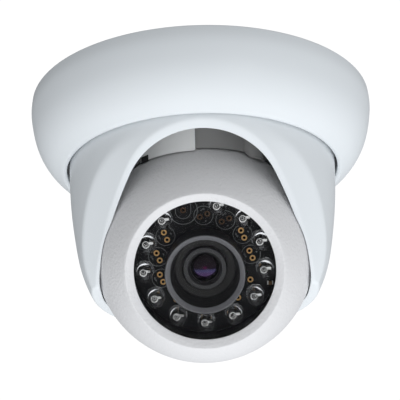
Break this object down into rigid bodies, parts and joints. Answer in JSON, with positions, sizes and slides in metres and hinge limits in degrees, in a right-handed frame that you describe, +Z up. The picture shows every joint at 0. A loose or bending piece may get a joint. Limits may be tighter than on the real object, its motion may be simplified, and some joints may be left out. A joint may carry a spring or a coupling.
{
  "type": "dome cctv camera",
  "caption": "Ceiling dome security camera: round flange, panning turret with an arched mouth, and a tilting eyeball with lens and infrared lamps.",
  "frame": {"origin": "centre of the ceiling mounting face, on the pan axis", "axes": "+Z up into the ceiling along the pan axis; the lens looks towards -Y and 35.9 degrees below horizontal at rest; +X is the tilt axis"},
  "size_m": [0.11, 0.11, 0.0873],
  "materials": {
    "white_cover": "satin, cool white",
    "ball_paint": "fine-grained light grey paint",
    "cast_base": "as cast, bead blasted",
    "bracket_grey": "satin grey-white paint",
    "inner_grey": "grey moulded",
    "steel": "zinc plated",
    "standoff_brass": "nickel-free brass",
    "gold_pads": "gold plated",
    "bearing_plastic": "natural acetal",
    "black_rubber": "moulded",
    "cable_sheath": "black cable sheath",
    "clear_acrylic": "polished clear",
    "led_resin": "clear epoxy",
    "optical_glass": "coated glass",
    "filter_glass": "cyan-tinted coated glass",
    "board_black": "glossy black solder mask",
    "board_green": "green solder mask",
    "black_plastic": "black moulded",
    "connector_white": "natural nylon",
    "lens_black": "black anodised"
  },
  "bodies": {
    "base": {"mounting_base": "cast_base", "flange_cover": "white_cover", "ceiling_gasket": "black_rubber", "cable_grommet": "black_rubber", "pan_washer": "bearing_plastic", "pan_retainer_ring": "steel", "retainer_screws": "steel", "cable_riser": "cable_sheath"},
    "turret": {"turret_housing": "white_cover", "turret_top_plate": "bracket_grey", "turret_screws": "steel", "inner_bracket": "inner_grey", "stop_block": "bracket_grey", "tilt_stop_pad": "black_rubber", "trunnion_bushes": "bearing_plastic", "cable_loop": "cable_sheath"},
    "tilt_yoke": {"tilt_yoke": "bracket_grey", "trunnion_pins": "steel"},
    "eyeball": {"eyeball_front_shell": "ball_paint", "eyeball_rear_shell": "ball_paint", "shell_seal": "black_rubber", "shell_screws": "steel", "front_window": "clear_acrylic", "window_gasket": "black_rubber", "light_shroud": "black_plastic", "led_board": "board_black", "led_lead_pads": "gold_pads", "ir_leds": "led_resin", "light_sensor": "black_plastic", "led_board_screws": "steel", "lens_cup": "black_plastic", "lens_holder": "black_plastic", "filter_solenoid": "black_plastic", "sensor_board": "board_green", "image_sensor": "black_plastic", "front_standoffs": "standoff_brass", "rear_standoffs": "standoff_brass", "main_board": "board_green", "board_screws": "steel", "processor_chip": "black_plastic", "memory_chips": "black_plastic", "cable_header": "connector_white", "board_link": "black_plastic", "level_washer": "bearing_plastic", "wave_washer": "steel", "neck_nut": "standoff_brass", "cable_neck_lead": "cable_sheath"},
    "lens": {"lens_barrel": "lens_black", "lens_front_element": "optical_glass", "lens_rear_element": "optical_glass", "lens_lock_ring": "black_plastic"},
    "filter_switcher": {"filter_shuttle": "steel", "ir_cut_filter": "filter_glass", "clear_filter": "optical_glass"}
  },
  "joints": [
    {"name": "pan", "type": "hinge", "parent": "base", "child": "turret", "pos_m": [0, 0, 0], "axis": [0, 0, 1], "range_deg": [-177.5, 177.5]},
    {"name": "tilt", "type": "hinge", "parent": "turret", "child": "tilt_yoke", "pos_m": [0, 0, -0.0526], "axis": [1, 0, 0], "range_deg": [-23.9, 54.1], "deforming": ["cable_loop"]},
    {"name": "level", "type": "hinge", "parent": "tilt_yoke", "child": "eyeball", "pos_m": [0, 0, -0.0526], "axis": [0, -0.81, -0.5864], "range_deg": [-177.5, 177.5]},
    {"name": "lens_focus", "type": "hinge", "parent": "eyeball", "child": "lens", "pos_m": [0, 0.00103, -0.05402], "axis": [0, -0.81, -0.5864], "range_deg": [-180, 180]},
    {"name": "filter_switch", "type": "slide", "parent": "eyeball", "child": "filter_switcher", "axis": [1, 0, 0], "range_m": [-0.0066, 0]}
  ]
}
